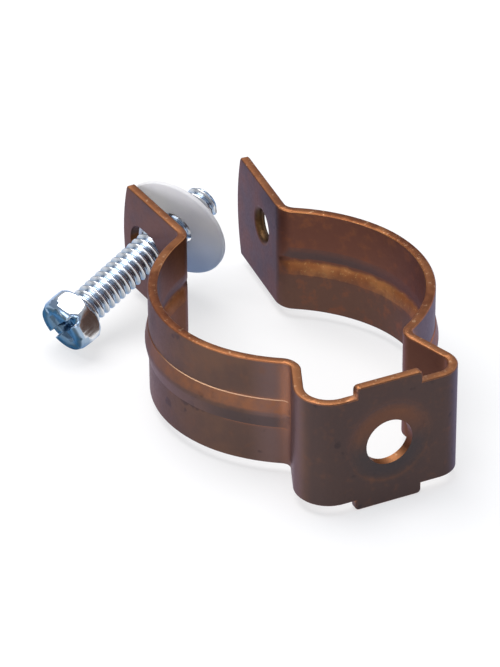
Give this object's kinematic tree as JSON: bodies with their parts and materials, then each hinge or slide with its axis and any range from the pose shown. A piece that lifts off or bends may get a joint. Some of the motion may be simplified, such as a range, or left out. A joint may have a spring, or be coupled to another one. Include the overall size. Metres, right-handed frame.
{
  "type": "pipe clip",
  "caption": "Folded copper-plated strap clip that holds a pipe: ribbed arms, a holed foot, and ears drawn together by a hexagon-head screw kept in place by a plastic washer.",
  "frame": {"origin": "on the axis of the fixing hole, in the plane of the foot's outer face", "axes": "+X along the foot, from the slotted ear's side to the tapped ear's side; +Y from the foot through the pipe to the ears; +Z along the pipe"},
  "size_m": [0.0546, 0.0783, 0.0228],
  "materials": {
    "copper_plate": "thin satin copper plating on steel strip, darkened on the broad faces and bright on the cut edges",
    "zinc_plate": "bright zinc plating with a faint blue cast",
    "washer_plastic": "translucent natural plastic, thin and flexible"
  },
  "bodies": {
    "strap": {"strap": "copper_plate"},
    "retaining_washer": {"retaining_washer": "washer_plastic"},
    "screw": {"screw": "zinc_plate"}
  },
  "joints": [
    {"name": "screw_feed", "type": "slide", "parent": "strap", "child": "retaining_washer", "axis": [0.8987, 0.3342, 0.2841], "range_m": [0, 0.006]},
    {"name": "screw_turn", "type": "hinge", "parent": "retaining_washer", "child": "screw", "pos_m": [-0.02516, 0.06235, -0.0049], "axis": [0.8987, 0.3342, 0.2841], "continuous": true}
  ]
}
